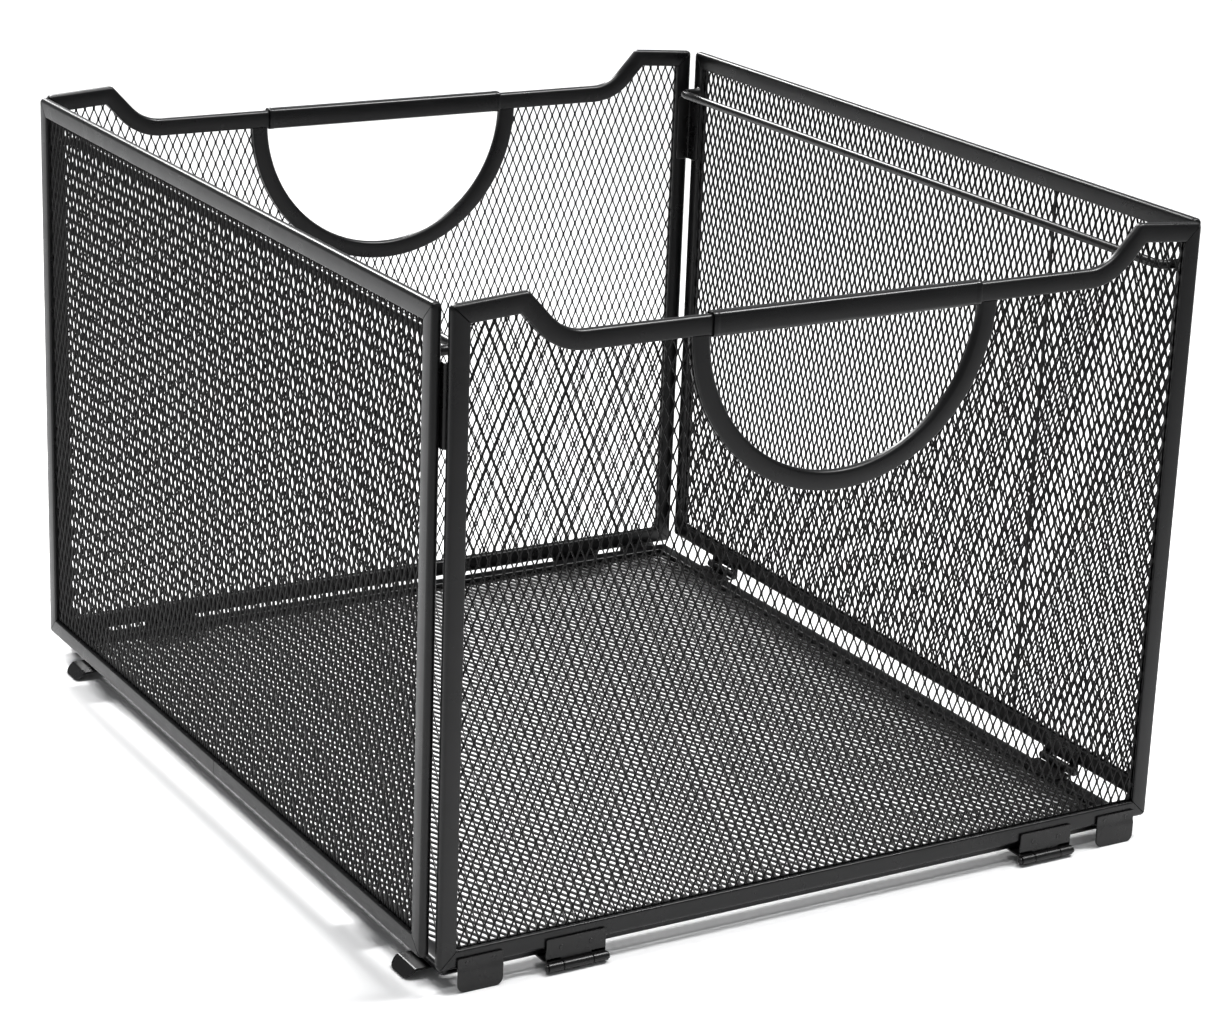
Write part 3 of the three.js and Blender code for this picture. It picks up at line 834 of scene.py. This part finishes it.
def corner_bracket(wall, end, body):
    """An angle of sheet: one flange on the side panel's stile, the other behind the end panel's."""
    low, high = wall_box(f"{wall}_bracket_{end}", wall)
    sign = 1 if low[0] + high[0] > 0 else -1
    outer = max(abs(low[0]), abs(high[0])) - SHEET / 2
    inner = min(abs(low[0]), abs(high[0]))
    stile = low[1] + SHEET / 2
    bend = arc((outer - BRACKET_BEND, stile + BRACKET_BEND), BRACKET_BEND, -90, 0, 5)
    path = [(inner, stile), *bend, (outer, high[1])]
    height, middle = high[2] - low[2], (high[2] + low[2]) / 2
    vertices, faces = bent_strip(path, height / 2, SHEET, (BRACKET_CORNER, BRACKET_CORNER))
    vertices = np.stack([sign * vertices[:, 1], vertices[:, 2], vertices[:, 0] + middle], axis=1)
    parts = [(vertices, faces)]
    for share in BRACKET_WELD_SHARES:
        x, z = sign * (inner + BRACKET_WELD_SIDE), low[2] + share * height
        parts.append(weld_mark(x, z, stile + SHEET / 2, outward=1))
    add_piece(f"{wall}_angle_{end}", parts, wall, body, "hardware_coat", [f"{wall}_bracket_{end}"])


def base_foot(wall, end):
    """A strip under the base whose rounded outer end slopes down to the table."""
    node = f"base_foot_{wall}_{end}"
    low, high = wall_box(node, wall)
    top = high[2] - SHEET / 2
    bend = arc((low[1] + SHEET / 2 + LIP_BEND, top - LIP_BEND), LIP_BEND, 90, 90 + LIP_SLOPE, 4)
    y, z = bend[-1]
    drop = z - SHEET / 2 * math.sin(math.radians(LIP_SLOPE))
    path = [(high[1], top), *bend, (y - drop, z - drop)]
    plate = bent_strip(path, (high[0] - low[0]) / 2, SHEET, (BASE_FOOT_CORNER, LIP_CORNER))
    parts = [moved(plate, x=(high[0] + low[0]) / 2)]
    add_piece(f"base_foot_lip_{wall}_{end}", parts, wall, "base", "hardware_coat", [node])


def side_wall(wall):
    body = f"{wall}_panel"
    low, high = wall_box(f"{wall}_frame", wall)
    mid, thickness = (low[1] + high[1]) / 2, high[1] - low[1]
    corners = rectangle_outline(low[0], low[2], high[0], high[2], seam=True)
    panel_rim(wall, corners, mid, thickness, body)
    side_metal(wall, low, high, mid, body)
    if wall == "right":
        mesh_join(low, high, mid)
    file_rail(wall, body)
    for end in ENDS[wall]:
        corner_bracket(wall, end, body)
        base_foot(wall, end)
        hinge(wall, end, -1, body)


# ---------------------------------------------------------------- base

def base():
    """The base's rim and its expanded metal, made as if in a wall and laid down."""
    low, high = (np.array(corner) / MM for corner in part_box("base_frame"))
    mid, thickness = (low[2] + high[2]) / 2, high[2] - low[2]
    corners = rectangle_outline(low[0], low[1], high[0], high[1])
    section = channel_section(RIM_WIDTH, thickness)
    rings = [[(x, y, v + mid) for x, v, y in ring] for ring in carried_round(corners, section, RIM_WIDTH)]
    part = skin(rings, closed=True)
    add_piece("base_channel_rim", [part], "front", "base", "rim_coat", ["base_frame"])

    def inside(x, y):
        return (abs(x) < high[0] - MESH_MARGIN) & (abs(y) < high[1] - MESH_MARGIN)

    sheet = expanded_metal(low[0], high[0], low[1], high[1], inside, TWISTS["base"])
    add_lattice("base_expanded_metal", sheet, "front", "base", "base_mesh", lie_down=True, mid=-mid)


# ---------------------------------------------------------------- stage

def make_floor():
    bpy.ops.mesh.primitive_plane_add(size=FLOOR_SIZE)
    floor = bpy.context.object
    floor.name = "table_top"
    floor.data.materials.append(floor_material())


def area_light(name, place, aim, size, watts, spread):
    """A softbox with a grid on it, which keeps its light within an angle in degrees."""
    data = bpy.data.lights.new(name, "AREA")
    data.shape = "RECTANGLE"
    data.size, data.size_y = size
    data.energy = watts
    data.spread = math.radians(spread)
    lamp = bpy.data.objects.new(name, data)
    lamp.location = place
    lamp.rotation_euler = (Vector(aim) - Vector(place)).to_track_quat("-Z", "Y").to_euler()
    bpy.context.scene.collection.objects.link(lamp)


def make_lights():
    world = bpy.data.worlds.new("white_room")
    bpy.context.scene.world = world
    world.use_nodes = True
    background = world.node_tree.nodes["Background"]
    background.inputs["Color"].default_value = WORLD_COLOR
    background.inputs["Strength"].default_value = WORLD_STRENGTH
    for light in LIGHTS:
        area_light(*light)


def make_camera():
    """A long lens, low over the front-left corner, tipped a little anticlockwise."""
    level = Vector((math.cos(CAMERA_AZIMUTH), math.sin(CAMERA_AZIMUTH), 0))
    reach, height = math.cos(CAMERA_ELEVATION), math.sin(CAMERA_ELEVATION)
    back = Vector((math.sin(CAMERA_AZIMUTH) * reach, -math.cos(CAMERA_AZIMUTH) * reach, height))
    upward = back.cross(level)
    right = level * math.cos(CAMERA_ROLL) + upward * math.sin(CAMERA_ROLL)
    up = upward * math.cos(CAMERA_ROLL) - level * math.sin(CAMERA_ROLL)
    data = bpy.data.cameras.new("camera")
    data.sensor_width = SENSOR_WIDTH
    data.lens = CAMERA_LENS
    data.clip_end = CLIP_END
    camera = bpy.data.objects.new("camera", data)
    turn = Matrix((right, up, back)).transposed().to_4x4()
    camera.matrix_world = Matrix.Translation(CAMERA_PLACE) @ turn
    bpy.context.scene.collection.objects.link(camera)
    bpy.context.scene.camera = camera


make_camera()
make_lights()
make_floor()
base()
for wall in ("front", "back"):
    end_wall(wall)
for wall in ("left", "right"):
    side_wall(wall)
bpy.context.scene.view_settings.view_transform = "Standard"
